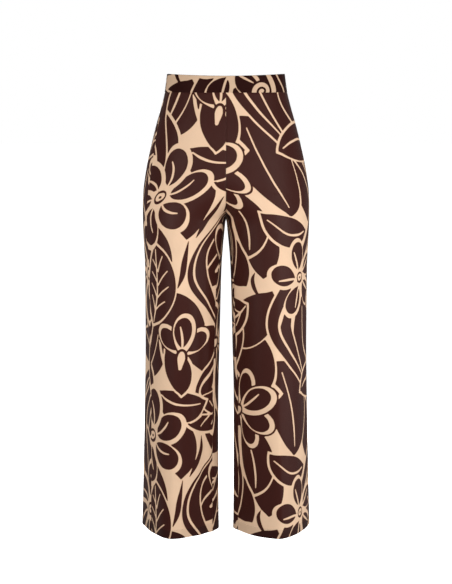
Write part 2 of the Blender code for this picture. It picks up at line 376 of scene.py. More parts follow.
def fold_height(side, drops, angles):
    """How far the folds move the cloth outwards, in metres, at each point of a panel."""
    height = np.zeros_like(angles)
    for _, line, half_width, rise in (fold for fold in FOLDS if fold[0] == side):
        line_drops, line_angles = np.array(line, float).T
        first, last = line_drops[0], line_drops[-1]
        middle = np.interp(drops, line_drops, line_angles)
        slant = (np.interp(drops + MM, line_drops, line_angles) - middle) * MM_PER_DEGREE
        aside = apart(angles, middle) / np.sqrt(1 + slant**2)
        profile = np.where(aside < 2 * half_width, np.cos(aside * math.pi / 4 / half_width), 0) ** 2
        if last > HEM_DROP:      # it runs out at the hem at its full height
            fade = smooth_step(first - FOLD_START, first + 0.5 * (last - first), drops)
        else:
            fade = smooth_step(first - FOLD_START, first + 0.4 * (last - first), drops)
            fade = fade * (1 - smooth_step(last - 0.4 * (last - first), last + FOLD_START, drops))
        height += rise * MM * profile * fade
    below_seam = np.clip((drops - WAISTBAND_HEIGHT) / MM, 0, None)
    for _, angle, length, rise in (gather for gather in GATHERS if gather[0] == side):
        fade = np.clip(below_seam / GATHER_RISE, 0, 1) * np.exp(-below_seam / length)
        height += rise * MM * bell(apart(angles, angle), GATHER_HALF_WIDTH) * fade
    return height


# %% [markdown]
# ## The print
#
# The cloth carries bold overlapping leaves, ribbons and blossoms in dark brown on peach, a plain
# botanical design of this script's own. It is drawn as for a screen print: strokes that swell and
# taper, laid in order, peach or brown, so that peach channels part the brown shapes. What is kept
# is the distance in millimetres to the nearest painted edge, negative on peach. Distances are
# smooth, so a store of one value a millimetre still gives a crisp edge in the material.

# %% The repeat, and the brush
REPEAT_WIDTH = 620   # millimetres, also points of the distance store
REPEAT_HEIGHT = 560
EDGE_REACH = 12.0    # no distance is kept beyond this
FINEST_LINE = 3.2    # what the panels' points, a little closer than this, still show whole
print_distance = np.full((REPEAT_HEIGHT, REPEAT_WIDTH), -EDGE_REACH)
print("repeat:", REPEAT_WIDTH, "x", REPEAT_HEIGHT, "mm")


def smooth_stroke(points, gap=4.0):
    """A fine chain through a stroke's points of (x, y, half width)."""
    points = np.array(points, float)
    if len(points) == 1:
        return np.vstack([points, points + (0.01, 0, 0)])
    ends = 2 * points[0] - points[1], 2 * points[-1] - points[-2]
    line = np.vstack([ends[0], points, ends[1]])
    chain = []
    for a, b, c, d in zip(line[:-3], line[1:-2], line[2:-1], line[3:]):
        count = max(2, int(np.hypot(*(c - b)[:2]) / gap))
        t = np.linspace(0, 1, count, endpoint=False)[:, None]
        curve = 2 * b + (c - a) * t + (2 * a - 5 * b + 4 * c - d) * t**2
        chain.append(0.5 * (curve + (3 * b - a - 3 * c + d) * t**3))
    chain = np.vstack(chain + [points[-1:]])
    chain[:, 2] = np.maximum(chain[:, 2], 0.05)
    return chain


def paint(ink, points):
    """Lay one stroke on the repeat; it comes back in at the other side where it runs off."""
    chain = smooth_stroke(points)
    stroke = np.full_like(print_distance, EDGE_REACH)
    for (ax, ay, aw), (bx, by, bw) in zip(chain[:-1], chain[1:]):
        reach = max(aw, bw) + EDGE_REACH
        xs = np.arange(math.floor(min(ax, bx) - reach), math.ceil(max(ax, bx) + reach))
        ys = np.arange(math.floor(min(ay, by) - reach), math.ceil(max(ay, by) + reach))
        x, y = xs[None, :] - ax, ys[:, None] - ay
        run_x, run_y = bx - ax, by - ay
        t = np.clip((x * run_x + y * run_y) / (run_x**2 + run_y**2 + 1e-9), 0, 1)
        distance = np.hypot(x - t * run_x, y - t * run_y) - (aw + t * (bw - aw))
        window = np.ix_(ys % REPEAT_HEIGHT, xs % REPEAT_WIDTH)
        stroke[window] = np.minimum(stroke[window], distance)
    if ink == "peach":
        np.minimum(print_distance, stroke, out=print_distance)
    else:
        np.maximum(print_distance, -stroke, out=print_distance)


# %% How motifs are drawn: a motif is a list of (ink, points), along +X from its foot
def bent(points, bow):
    """Points bent round an arc; bow is one over its radius."""
    if bow == 0:
        return list(points)
    return [
        ((1 / bow - y) * math.sin(bow * x), 1 / bow - (1 / bow - y) * math.cos(bow * x), half)
        for x, y, half in points
    ]


def moved(strokes, place_x, place_y, turn, mirrored=1):
    """Strokes turned by some degrees and set down at a place."""
    cos_turn, sin_turn = math.cos(math.radians(turn)), math.sin(math.radians(turn))
    return [
        (ink, [(place_x + x * cos_turn - y * mirrored * sin_turn,
                place_y + x * sin_turn + y * mirrored * cos_turn, half) for x, y, half in points])
        for ink, points in strokes
    ]


def widened(points, more):
    """The same line with a broader brush."""
    return [(x, y, half + more) for x, y, half in points]


def pen(length, width, bow):
    """A function that draws a stroke in shares of a motif's length and half width."""
    def stroke(ink, points):
        return ink, bent([(length * x, width * y, half) for x, y, half in points], bow)
    return stroke


# %% Leaves and petals: how full they are at each share of the way from foot to tip
LEAF = [(0, .0), (.1, .31), (.25, .74), (.42, 1), (.58, .96), (.74, .72), (.88, .34), (1, .0)]
PETAL = [(0, .10), (.14, .34), (.36, .74), (.60, 1), (.78, .92), (.90, .60), (1, .10)]


def leaf(length, width, bow, rim, marks):
    """A brown leaf with a peach rim, heavier on one side; plain, or with a rib, veins or slits."""
    stroke = pen(length, width, bow)
    strokes = [
        ("peach", bent([(length * (1.04 * way - .02), (rim - FINEST_LINE) * full,
                         width * full + rim * (.5 + .5 * full)) for way, full in LEAF], bow)),
        stroke("brown", [(.01 + .98 * way, 0, width * full) for way, full in LEAF]),
    ]
    if marks in ("rib", "veins"):
        foot, tip = (.10, .86) if marks == "rib" else (.04, .92)
        strokes.append(stroke("peach", [
            (foot, 0, 1.7), (foot + .18, .10, 2.8), (foot + .42, .16, 2.4), (tip, .05, 1.7),
        ]))
    if marks == "veins":
        for way in (.18, .34, .50, .66):
            full = np.interp(way + .12, *np.transpose(LEAF))
            strokes += [stroke("peach", [
                (way, .10, 2.0), (way + .09, .10 + hand * .32 * full, 1.9),
                (way + .16, .05 + hand * .66 * full, 1.6),
            ]) for hand in (1, -1)]
    if marks == "slits":
        strokes += [stroke("peach", [
            (.16 + way, aside * .5, 1.6), (.36 + way, aside, 3.0),
            (.58 + way, aside, 2.4), (.80 + way / 2, aside * .5, 1.6),
        ]) for way, aside in ((0, -.5), (.05, 0), (.10, .5))]
    return strokes


def petal(length, width, bow, lean, rim, flick):
    """A petal with a peach rim, a brown heart that leans to one side, and perhaps a flick in it."""
    stroke = pen(length, width, bow)
    strokes = [
        stroke("peach", [(way, 0, width * full) for way, full in PETAL]),
        stroke("brown", [(.10 + .83 * way, lean * full, max(width * (full - rim), .5))
                         for way, full in PETAL]),
    ]
    if flick:
        strokes.append(stroke("peach", [
            (.12, .04, 1.7), (.34, .06, 2.8), (.56, .22, 2.6), (.72, .40, 1.6),
        ]))
    return strokes


# %% Flowers, a tendril and ribbons
def blossom(radius, petals, bow, turn, lean):
    """Petals that all lean the same way about a ringed eye."""
    strokes = []
    for place in range(petals):
        angle = turn + 360 / petals * place
        reach = radius * .92 * (1 + .06 * math.sin(2.1 * place + turn))
        way = math.radians(angle)
        foot = radius * .08 * math.cos(way), radius * .08 * math.sin(way)
        strokes += moved(petal(reach, radius * .33, bow, lean, .20, True), *foot, angle)
    return strokes + [
        ("brown", [(0, 0, radius * .15)]),
        ("peach", [(-radius * .02, 0, radius * .09), (radius * .03, radius * .02, radius * .08)]),
        ("brown", [(0, 0, radius * .03), (radius * .02, 0, radius * .025)]),
    ]


def fan_flower(length, width, petals, spread, bow):
    """A flower seen from the side: petals fanned out from one foot, the middle one on top."""
    strokes = []
    offsets = [place - (petals - 1) / 2 for place in range(petals)]
    for off in sorted(offsets, key=lambda off: -abs(off)):
        size = 1 - .09 * abs(off)
        lean = .12 if off >= 0 else -.12
        one = petal(length * size, width * size, bow * off, lean, .23, abs(off) < .6)
        outline = ("brown", widened(one[0][1], 4))
        strokes += moved([outline] + one, 0, 0, off * spread)
    return strokes + [
        ("brown", [(-22, 0, 8), (-6, 0, 15), (4, 0, 12)]),
        ("peach", [(-30, 0, 4), (-6, 0, 9), (4, 0, 6)]),
    ]


def tendril(radius, width, tail, turns=1.2):
    """A tail that rolls up into a curl, on a brown margin."""
    points = [(-tail, radius * .30, width * .26), (-tail * .62, radius * .02, width * .55),
              (-tail * .3, -radius * .04, width * .85)]
    count = int(12 * turns)
    for step in range(count + 1):
        way = step / count
        angle = math.radians(-90 + 360 * turns * way)
        reach = radius * (1 - .66 * way)
        half = width * (1 - .38 * way)
        points.append((reach * math.cos(angle), reach * math.sin(angle) + radius, half))
    return [("brown", widened(points, 5)), ("peach", points)]


def endless(points):
    """A line that meets itself again at the top of the repeat."""
    (x1, y1, half1), (x2, y2, half2) = points[-2], points[1]
    return [(x1, y1 - REPEAT_HEIGHT, half1)] + points + [(x2, y2 + REPEAT_HEIGHT, half2)]


def ribbon(points):
    """A broad brown ribbon with peach margins, endless up the cloth."""
    return [("peach", widened(endless(points), 5)), ("brown", endless(points))]


# %% The layout of the repeat, in millimetres and degrees
LOWER_RIM, UPPER_RIM = 5.6, 4.7    # the leaves' peach rims
LOWER_LEAVES = [  # length, half width, bow and marks, then place and turn
    (180, 42, .004, "plain", 150, 320, -102),
    (170, 40, .005, "plain", 398, 350, 80),
    (150, 38, -.006, "plain", 322, 160, -84),
    (170, 42, .004, "plain", 604, 40, 84),
    (250, 66, .004, "rib", 60, 180, 74),
    (240, 60, -.005, "rib", 210, 360, 150),
    (230, 60, .005, "plain", 380, 20, 66),
    (250, 62, -.004, "rib", 420, 240, 52),
    (230, 62, .005, "plain", 600, 330, 100),
    (230, 58, -.005, "slits", 250, 20, 100),
    (210, 56, .006, "plain", 560, 20, 120),
    (220, 58, .005, "rib", 330, 230, 118),
    (200, 52, -.006, "plain", 120, 30, 20),
    (200, 52, .006, "plain", 470, 470, 0),
]
UPPER_LEAVES = [
    (200, 46, .005, "veins", 300, 150, 58),
    (180, 42, -.006, "rib", 96, 330, 28),
    (190, 46, .006, "rib", 566, 90, 70),
    (180, 44, -.006, "veins", 560, 540, -140),
    (150, 36, .009, "rib", 330, 560, -50),
    (150, 34, -.009, "rib", 120, 150, 200),
    (120, 30, -.008, "plain", 350, 96, -40),
]
RIBBONS = [  # (x, y, half width) up the cloth
    [(40, 0, 24), (86, 70, 13), (150, 136, 20), (196, 206, 26), (180, 284, 14),
     (118, 350, 11), (60, 420, 22), (24, 490, 30), (40, 560, 24)],
    [(250, 0, 17), (226, 60, 26), (246, 128, 13), (300, 190, 11), (340, 260, 20),
     (330, 330, 30), (280, 396, 16), (256, 470, 10), (262, 520, 12), (250, 560, 17)],
    [(456, 0, 26), (500, 66, 15), (512, 130, 11), (470, 200, 18), (430, 262, 26),
     (440, 330, 15), (500, 400, 11), (520, 470, 22), (480, 520, 30), (456, 560, 26)],
]
RIBBON_LINES = [  # peach lines that two of the ribbons carry
    [(48, 0, 3.0), (94, 64, 2.0), (156, 128, 3.0), (206, 206, 3.2), (184, 292, 2.0),
     (116, 362, 1.8), (52, 430, 3.0), (20, 492, 3.2), (48, 560, 3.0)],
    [(444, 0, 3.2), (496, 60, 2.0), (506, 134, 1.8), (460, 204, 2.4), (420, 266, 3.0),
     (436, 336, 2.0), (500, 408, 1.8), (512, 472, 3.0), (468, 524, 3.4), (444, 560, 3.2)],
]
SLIM_LEAVES = [  # brown ones in the wider gaps
    [(380, 238, .5), (391, 270, 6), (396, 304, 6), (404, 352, .5)],
    [(420, 354, .5), (437, 384, 6), (453, 418, 6), (453, 452, .5)],
    [(156, 106, .5), (176, 117, 5), (187, 138, 5), (194, 166, .5)],
    [(500, 238, .5), (504, 208, 5), (509, 174, 5), (514, 140, .5)],
    [(584, 56, .5), (577, 38, 5), (582, 18, 5), (598, -4, .5)],
    [(201, 532, .5), (188, 506, 5), (192, 482, 5), (197, 452, .5)],
]
CRUMBS = [  # left between shapes, and painted over
    ("peach", [(251, 368, 5)]), ("peach", [(424, 46, 5)]), ("peach", [(494, 451, 5)]),
    ("brown", [(616, 289, 6)]),
]
print("layout:", len(LOWER_LEAVES) + len(UPPER_LEAVES), "leaves and", len(RIBBONS), "ribbons")


# %% Paint it, from the lowest layer up
def leaves(table, rim):
    """The strokes of all the leaves in a table."""
    strokes = []
    for length, width, bow, marks, *place in table:
        strokes += moved(leaf(length, width, bow, rim, marks), *place)
    return strokes


design = leaves(LOWER_LEAVES, LOWER_RIM)
for line in RIBBONS:
    design += ribbon(line)
design += [("peach", endless(line)) for line in RIBBON_LINES]
design += [("brown", line) for line in SLIM_LEAVES]
design += leaves(UPPER_LEAVES, UPPER_RIM)
design += moved(blossom(108, 6, .006, 12, .11), 300, 446, 0)
design += moved(blossom(88, 5, -.007, 40, -.10), 90, 40, 0)
design += moved(fan_flower(116, 32, 5, 30, .004), 516, 286, 24)
design += moved(fan_flower(92, 27, 3, 34, .006), 392, 84, 84)
design += moved(tendril(32, 7, 80), 196, 560, -60, -1)
design += CRUMBS
for ink, points in design:
    paint(ink, points)

# %% Clean it of lines that are too thin for a screen to print
FIRM_DEPTH = 0.36 * FINEST_LINE    # how deep inside its edge an ink is firm
FIRM_REACH = 3                     # millimetres round a firm place that hold with it
PAINTED_OVER = 1.5                 # how deep inside the other ink a thin line then lies


def slivers(depth):
    """Where an ink, depth millimetres inside its edge, is too thin."""
    firm = depth > FIRM_DEPTH
    for axis in (0, 1):
        steps = range(-FIRM_REACH, FIRM_REACH + 1)
        firm = np.any([np.roll(firm, step, axis) for step in steps], axis=0)
    return (depth > -1) & ~firm


print_distance = np.where(slivers(-print_distance), PAINTED_OVER, print_distance)
print_distance = np.where(slivers(print_distance), -PAINTED_OVER, print_distance)
print("print:", len(design), "strokes,", round(100 * float((print_distance < 0).mean())), "% peach")


def print_at(u, v):
    """The distance in millimetres to the print's edge, at places on the flat cloth in metres."""
    x, y = u / MM, v / MM
    column, row = np.floor(x).astype(int), np.floor(y).astype(int)
    across, up = x - column, y - row

    def stored(right, above):
        return print_distance[(row + above) % REPEAT_HEIGHT, (column + right) % REPEAT_WIDTH]

    low = stored(0, 0) * (1 - across) + stored(1, 0) * across
    high = stored(0, 1) * (1 - across) + stored(1, 1) * across
    return low * (1 - up) + high * up


# %% [markdown]
# ## The cloth
#
# The material reads three things off each piece: the distance to the print's edge and a painted shade
# where the cloth lies double, both stored at its points, and the piece's own UV map, which is the flat
# cloth in metres, for the weave. The painted shade darkens the turned-up hem and the waistband. Real
# crepe has a fine pebbled grain, a faint cross weave, ink that sinks in unevenly, and a soft sheen at
# grazing angles. The reverse of the cloth shows the same print, paler.

# %% Nodes that the cloth and the thread are built from
def maths(tree, operation, first, second):
    """A Math node's output; each input is a number or another node's output."""
    made = new_node(tree, "ShaderNodeMath", operation=operation)
    for socket, value in zip(made.inputs, (first, second)):
        if isinstance(value, (int, float)):
            socket.default_value = value
        else:
            tree.links.new(value, socket)
    return made.outputs["Value"]


def noise(tree, cloth, scale, detail, stretch=(1, 1, 1)):
    """Noise from 0 to 1 over the flat cloth."""
    mapping = new_node(tree, "ShaderNodeMapping", {"Scale": stretch})
    texture = new_node(tree, "ShaderNodeTexNoise", {"Scale": scale, "Detail": detail})
    tree.links.new(cloth, mapping.inputs["Vector"])
    tree.links.new(mapping.outputs["Vector"], texture.inputs["Vector"])
    return texture.outputs["Fac"]


def unevenness(tree, cloth, amount, *how):
    """Noise about nought, as wide as the amount."""
    return maths(tree, "MULTIPLY", maths(tree, "SUBTRACT", noise(tree, cloth, *how), 0.5), amount)


def mapped(tree, value, ends):
    """A Map Range node's output, with its ends by name."""
    made = new_node(tree, "ShaderNodeMapRange", ends)
    tree.links.new(value, made.inputs["Value"])
    return made.outputs["Result"]


def bump(tree, height, strength, distance):
    """The normals of a surface with this height on it."""
    made = new_node(tree, "ShaderNodeBump", {"Strength": strength, "Distance": distance})
    tree.links.new(height, made.inputs["Height"])
    return made.outputs["Normal"]


def colour_ramp(tree, share, low, high):
    """A ColorRamp node that runs from one colour to the other as the share runs from 0 to 1."""
    made = new_node(tree, "ShaderNodeValToRGB")
    made.color_ramp.elements[0].color = low + (1,)
    made.color_ramp.elements[1].color = high + (1,)
    tree.links.new(share, made.inputs["Fac"])
    return made


# %% What a printed crepe shows
SOAK = 0.45              # millimetres each side of an edge over which the inks run together
EDGE_COLOUR = 0.55       # where on the way from brown to peach the tan lies
RAGGED_EDGE = (0.7, 1100, 2)              # how uneven, then the noise's scale and detail
UNEVEN_DYE = (0.22, 14, 3)
SLUBS = (0.20, 1, 2, (2600, 420, 1))      # and its stretch, which draws it out along the cloth
PEBBLES = (1300, 3)
WEAVE = {"Scale": 520, "Distortion": 1.2, "Detail": 1}
CREPE_DEPTH = 0.25 * MM
# painted shade where the cloth lies double: how far the brown and the peach are darkened
PAINTED_SHADE_WHERE_DOUBLE = {"To Min": -0.38, "To Max": -0.12}    # on brown, and on peach
ROUGHNESS = {"To Min": 0.46, "To Max": 0.60}                # likewise


def printed_inks(tree, cloth, brown, tan, peach):
    """The share of peach, and the inks' colour, with a tan edge that is a little ragged."""
    edge = new_node(tree, "ShaderNodeAttribute", attribute_name="print_edge").outputs["Fac"]
    soaked = maths(tree, "ADD", edge, unevenness(tree, cloth, *RAGGED_EDGE))
    share = mapped(tree, soaked, {"From Min": SOAK, "From Max": -SOAK})
    ramp = colour_ramp(tree, share, brown, peach)
    ramp.color_ramp.elements.new(EDGE_COLOUR).color = tan + (1,)
    return share, ramp.outputs["Color"]


def dyed_and_shaded(tree, cloth, share, inks, uneven):
    """The inks with uneven dye and fine slubs, and painted shade where the cloth is double."""
    slubs = unevenness(tree, cloth, *SLUBS)
    # painted shade: the inks are darkened where the cloth lies double
    doubled_shade = new_node(tree, "ShaderNodeAttribute", attribute_name="doubled_shade").outputs["Fac"]
    double_shade = maths(tree, "MULTIPLY", doubled_shade, mapped(tree, share, PAINTED_SHADE_WHERE_DOUBLE))
    tone = maths(tree, "ADD", maths(tree, "ADD", maths(tree, "ADD", uneven, slubs), double_shade), 1.0)
    shaded = new_node(tree, "ShaderNodeVectorMath", operation="SCALE")
    tree.links.new(inks, shaded.inputs["Vector"])
    tree.links.new(tone, shaded.inputs["Scale"])
    return shaded.outputs["Vector"]


def crepe_relief(tree, cloth, grain):
    """A pebbled surface with a faint cross weave."""
    threads = []
    for axis in ("X", "Y"):
        wave = new_node(
            tree, "ShaderNodeTexWave", WEAVE, bands_direction=axis, wave_profile="SIN"
        )
        tree.links.new(cloth, wave.inputs["Vector"])
        threads.append(wave.outputs["Fac"])
    weave = maths(tree, "MULTIPLY", maths(tree, "MULTIPLY", *threads), 0.5)
    height = maths(tree, "ADD", noise(tree, cloth, *PEBBLES), weave)
    return bump(tree, height, grain, CREPE_DEPTH)


# %% A printed crepe, for the outside, the reverse or the waistband
def printed_crepe(name, brown, tan, peach, sheen, grain, gloss):
    """A material for printed crepe in the given inks; grain is the depth of its pebbling."""
    material, shader = new_material(name, {
        "Sheen Weight": sheen, "Sheen Roughness": 0.5, "Sheen Tint": (1.0, 0.93, 0.88, 1),
        "Specular IOR Level": gloss, "Specular Tint": (1.0, 0.85, 0.80, 1),
    })
    tree = material.node_tree
    cloth = new_node(tree, "ShaderNodeUVMap", uv_map="flat_cloth").outputs["UV"]
    share, inks = printed_inks(tree, cloth, brown, tan, peach)
    uneven = unevenness(tree, cloth, *UNEVEN_DYE)
    rough = mapped(tree, maths(tree, "ADD", share, uneven), ROUGHNESS)
    tree.links.new(dyed_and_shaded(tree, cloth, share, inks, uneven), shader.inputs["Base Color"])
    tree.links.new(rough, shader.inputs["Roughness"])
    tree.links.new(crepe_relief(tree, cloth, grain), shader.inputs["Normal"])
    return material


outside = printed_crepe(
    "printed_crepe", (0.041, 0.0080, 0.0054), (0.38, 0.17, 0.080), (0.82, 0.570, 0.385),
    sheen=0.02, grain=0.35, gloss=0.16,
)
reverse = printed_crepe(
    "crepe_reverse", (0.085, 0.036, 0.028), (0.32, 0.17, 0.10), (0.60, 0.42, 0.30),
    sheen=0.03, grain=0.45, gloss=0.16,
)
band_crepe = printed_crepe(
    "waistband_crepe", (0.047, 0.0098, 0.0076), (0.38, 0.17, 0.080), (0.80, 0.555, 0.375),
    sheen=0.01, grain=0.30, gloss=0.05,
)
print("cloths:", outside.name + ",", reverse.name + ",", band_crepe.name)

# %% [markdown]
# ## From a flat grid to a panel
#
# Each piece starts as a plain grid, as cloth starts as warp and weft. Its points are laid on the
# form row by row: the row's length round the oval is measured, so that columns keep even distances
# and the print isn't stretched. Solidify then gives the cloth its thickness inwards, and Decimate
# thins only that hidden inner face.

# %% Columns along each row of the form
FINE = 2.35 * MM         # distance between columns
DENSE = 400              # samples that measure each row
EDGE_STEPS = np.array([0.0, 0.6, 1.5, 3.0, 5.0]) * MM    # the closer columns near an edge


def along_rows(drops, start, end, first, middle_count, turned, outwards):
    """Places, outward directions and angles along each row, and distances from its start.

    first gives the distances of the columns near the starting edge. The far edge mirrors them,
    middle_count columns lie between, and each edge is there turned times more, to be turned in.
    """
    angles = start + (end - start) * np.linspace(0, 1, DENSE)[None, :]
    x, y = oval(sections_at(drops), angles)
    steps = np.hypot(np.diff(x, axis=1), np.diff(y, axis=1))
    run = np.hstack([np.zeros((len(drops), 1)), np.cumsum(steps, axis=1)])
    run_x, run_y = np.gradient(x, axis=1), np.gradient(y, axis=1)
    speed = np.hypot(run_x, run_y)

    last = run[:, -1:] - first[:, ::-1]
    share = np.linspace(0, 1, middle_count + 2)[None, 1:-1]
    middle = first[:, -1:] + (last[:, :1] - first[:, -1:]) * share
    place = np.hstack([
        np.repeat(first[:, :1], turned, 1), first, middle, last, np.repeat(last[:, -1:], turned, 1),
    ])
    x, y, normal_x, normal_y, angles = (
        np.array([np.interp(*row) for row in zip(place, run, source)])
        for source in (x, y, outwards * run_y / speed, -outwards * run_x / speed, angles)
    )
    places = np.stack([x, y, np.broadcast_to(-drops[:, None], x.shape)], axis=-1)
    normals = np.stack([normal_x, normal_y, np.zeros_like(x)], axis=-1)
    return places, normals, angles, place, run[:, -1]


# %% A grid that is laid on those places, and its wall
def singles(values):
    """One long row of single-precision numbers, as Blender stores them."""
    return values.astype(np.float32).reshape(-1)


def lay_on_form(name, places, flat, doubled_shade, face_outwards):
    """A grid with its points on their places; it carries the flat cloth, print and painted shade."""
    rows, columns = doubled_shade.shape
    bpy.ops.object.select_all(action="DESELECT")
    bpy.ops.mesh.primitive_grid_add(x_subdivisions=columns - 1, y_subdivisions=rows - 1, size=1)
    sheet = bpy.context.object
    mesh = sheet.data
    sheet.name = mesh.name = name
    # a grid's rows run up from its foot, and a piece's run down from its top
    places, flat, doubled_shade = (
        values[::-1].reshape(rows * columns, -1) for values in (places, flat, doubled_shade)
    )
    mesh.vertices.foreach_set("co", singles(places))
    corners = np.empty(len(mesh.loops), np.int32)
    mesh.loops.foreach_get("vertex_index", corners)
    mesh.uv_layers[0].name = "flat_cloth"
    mesh.uv_layers[0].data.foreach_set("uv", singles(flat[corners]))
    for label, values in (("print_edge", print_at(*flat.T)), ("doubled_shade", doubled_shade)):
        mesh.attributes.new(label, "FLOAT", "POINT").data.foreach_set("value", singles(values))
    if not face_outwards:
        mesh.flip_normals()
    mesh.update()
    return sheet


def give_thickness(sheet, finish, thickness, thin_reverse):
    """A closed wall, from the outer face inwards, with its hidden face paler and thinned out."""
    sheet.data.materials.append(finish)
    sheet.data.materials.append(reverse)
    sheet.vertex_groups.new(name="reverse_face")
    wall = sheet.modifiers.new("wall", "SOLIDIFY")
    wall.thickness = thickness
    wall.offset = -1
    wall.material_offset = 1
    wall.shell_vertex_group = "reverse_face"
    bpy.ops.object.modifier_apply(modifier=wall.name)
    if thin_reverse < 1:
        thinner = sheet.modifiers.new("thinner", "DECIMATE")
        thinner.ratio = 0.5 + 0.5 * thin_reverse
        thinner.vertex_group = "reverse_face"
        bpy.ops.object.modifier_apply(modifier=thinner.name)
    bpy.ops.object.shade_smooth()


# %% [markdown]
# ## The leg panels
#
# Two fronts and two backs. Each reaches from under the waistband to the hem. Its long edges turn
# inwards as seam allowances, so neighbours meet in a fine groove with a slight swell beside it,
# where the pressed allowances lie. At the foot the cloth rolls under and runs back up inside for
# the depth of the hem, and a shallow line shows where that is caught down.

# %% Rows from the waist to the inner edge of the hem
HEM_DEPTH = 20.0 * MM
HEM_LINE = HEM_DROP - HEM_DEPTH    # the depth at which the hem is caught down
HEM_ROLL = 0.85 * MM
TUCK = 6.5 * MM                    # how far the panel reaches up behind the waistband
ROWS_ABOVE, ROWS_BELOW, ROWS_ROLL, ROWS_TURNED = 140, 330, 6, 8


def panel_rows():
    """Each row's depth and its distance in from the outer face, from the waist to the inner hem."""
    top = WAISTBAND_HEIGHT - TUCK
    above = FORK_DROP - (FORK_DROP - top) * (1 - np.arange(ROWS_ABOVE) / ROWS_ABOVE) ** 1.35
    hem_end = HEM_DROP - HEM_ROLL
    below = FORK_DROP + (hem_end - FORK_DROP) * (np.arange(ROWS_BELOW + 1) / ROWS_BELOW) ** 1.12
    roll = np.radians(np.linspace(0, 180, ROWS_ROLL + 2)[1:-1])
    up = hem_end - HEM_DEPTH * np.linspace(0, 1, ROWS_TURNED)
    drops = np.concatenate([above, below, hem_end + HEM_ROLL * np.sin(roll), up])
    inset = np.concatenate([
        np.zeros(len(above) + len(below)), HEM_ROLL * (1 - np.cos(roll)),
        np.full(len(up), 2 * HEM_ROLL),
    ])
    return drops, inset


print("rows of a leg panel:", len(panel_rows()[0]))

# %% What seams, hem and folds do to the surface
SEAM_SINK, SEAM_SOFTNESS = 0.8 * MM, 1.7 * MM
SWELL, SWELL_PLACE, SWELL_WIDTH = 0.28 * MM, 5 * MM, 3.2 * MM    # over the pressed allowances
BAND_STEP, BAND_STEP_WIDTH = 0.55 * MM, 2.2 * MM                 # under the waistband's edge
CATCH_SINK, CATCH_WIDTH = 0.30 * MM, 1.3 * MM                    # where the hem is caught down
HEM_SWELL = 0.30 * MM
PUCKER, PUCKER_EVERY, PUCKER_REACH = 0.16 * MM, 13.2 * MM, 7 * MM
LEVEL_BY_RISE = 30 * MM    # folds and pucker reach their height so far from the rise seam
LEVEL_BY_BAND = 4 * MM     # and so far below the waistband


def seam_profile(distance):
    """How far the cloth sinks towards a seam, less the swell over the allowances beside it."""
    swell = SWELL * bell(distance - SWELL_PLACE, SWELL_WIDTH)
    return SEAM_SINK * bell(distance, SEAM_SOFTNESS) - swell


def waist_and_hem_relief(drops, inset):
    """The step under the waistband, the swell of the doubled hem and the line that catches it."""
    seam = BAND_STEP * bell(np.clip(drops - WAISTBAND_HEIGHT, 0, None), BAND_STEP_WIDTH)
    catch = CATCH_SINK * bell(drops - HEM_LINE, CATCH_WIDTH)
    swell = HEM_SWELL * smooth_step(0, 4 * MM, drops - HEM_LINE)
    return seam + np.where(inset > 0, -swell, catch - swell)


def seam_pucker(drops, place, length):
    """Small uneven ripples beside the long seams, the same on both sides of each."""
    ripple = np.sin(drops * 2 * math.pi / PUCKER_EVERY + 1.7 * np.sin(drops * 31))
    uneven = 0.55 + 0.45 * np.sin(drops * 57 + 2 * np.sin(drops * 23))
    beside = np.exp(-place / PUCKER_REACH) + np.exp(-(length[:, None] - place) / PUCKER_REACH)
    return (PUCKER * ripple * uneven)[:, None] * beside


def panel_relief(side, drops, inset, angles, place, length):
    """How far each point of a panel stands out from the form."""
    sink = seam_profile(np.minimum(place, length[:, None] - place))
    sink = sink + inset[:, None] + waist_and_hem_relief(drops, inset)[:, None]
    height = fold_height(side, drops[:, None], angles) + seam_pucker(drops, place, length)
    # both sides of the rise stay level there, and so does what the waistband covers
    above_fork = (1 - smooth_step(FORK_DROP - 10 * MM, FORK_DROP + 30 * MM, drops))[:, None]
    height = height * (1 - above_fork * (1 - smooth_step(0, LEVEL_BY_RISE, place)))
    below_band = smooth_step(WAISTBAND_HEIGHT, WAISTBAND_HEIGHT + LEVEL_BY_BAND, drops)
    return height * below_band[:, None] - sink


# %% Seam allowances
ALLOWANCE = 7.0 * MM
TURN_STEPS = np.array([1.0, 0.55, 0.22]) * ALLOWANCE
TURNED = len(TURN_STEPS)
RISE_REACH = 12.0 * MM   # how far from the rise seam its two sides are brought together
raw_edges = {}           # each long edge's end and fold, where the overlock stitches go
catch_lines = {}         # the lines on the outer face along which the hems are caught down


def allowance_direction(inwards, seam_y, drops, in_plane, outwards):
    """Which way the inner edge's allowance is turned: square to the rise seam, or into the leg."""
    run_y, run_z = np.gradient(seam_y), -np.gradient(drops)
    run = np.hypot(run_y, run_z) + 1e-9
    square = outwards * np.stack([np.zeros_like(run), -run_z / run, run_y / run], axis=-1)
    direction = in_plane * square + (1 - in_plane) * inwards
    return direction / np.linalg.norm(direction, axis=1)[:, None]


def turn_edges_in(places, normals, drops, place, outwards):
    """Bring the rise seam to the middle, and turn in the allowances of both long edges."""
    in_plane = (1 - smooth_step(FORK_DROP - 2 * MM, FORK_DROP + 14 * MM, drops))[:, None]
    places[:, :, 0] -= places[:, [TURNED], 0] * in_plane * bell(place, RISE_REACH)
    seam_y = places[:, TURNED, 1]
    inner = allowance_direction(-normals[:, TURNED], seam_y, drops, in_plane, outwards)
    places[:, :TURNED] += TURN_STEPS[:, None] * inner[:, None]
    places[:, -TURNED:] -= TURN_STEPS[::-1, None] * normals[:, [-TURNED]]


def keep_sewing_lines(name, places, normals, drops, inset):
    """Remember a panel's raw edges, each with its fold, and the line that catches its hem."""
    raw_edges[name, "inner"] = places[:, 0], places[:, TURNED]
    raw_edges[name, "outer"] = places[:, -1], places[:, -TURNED - 1]
    row = int(np.argmin(np.abs(drops - HEM_LINE) + inset))
    catch_lines[name] = places[row, TURNED:-TURNED], normals[row, TURNED:-TURNED]


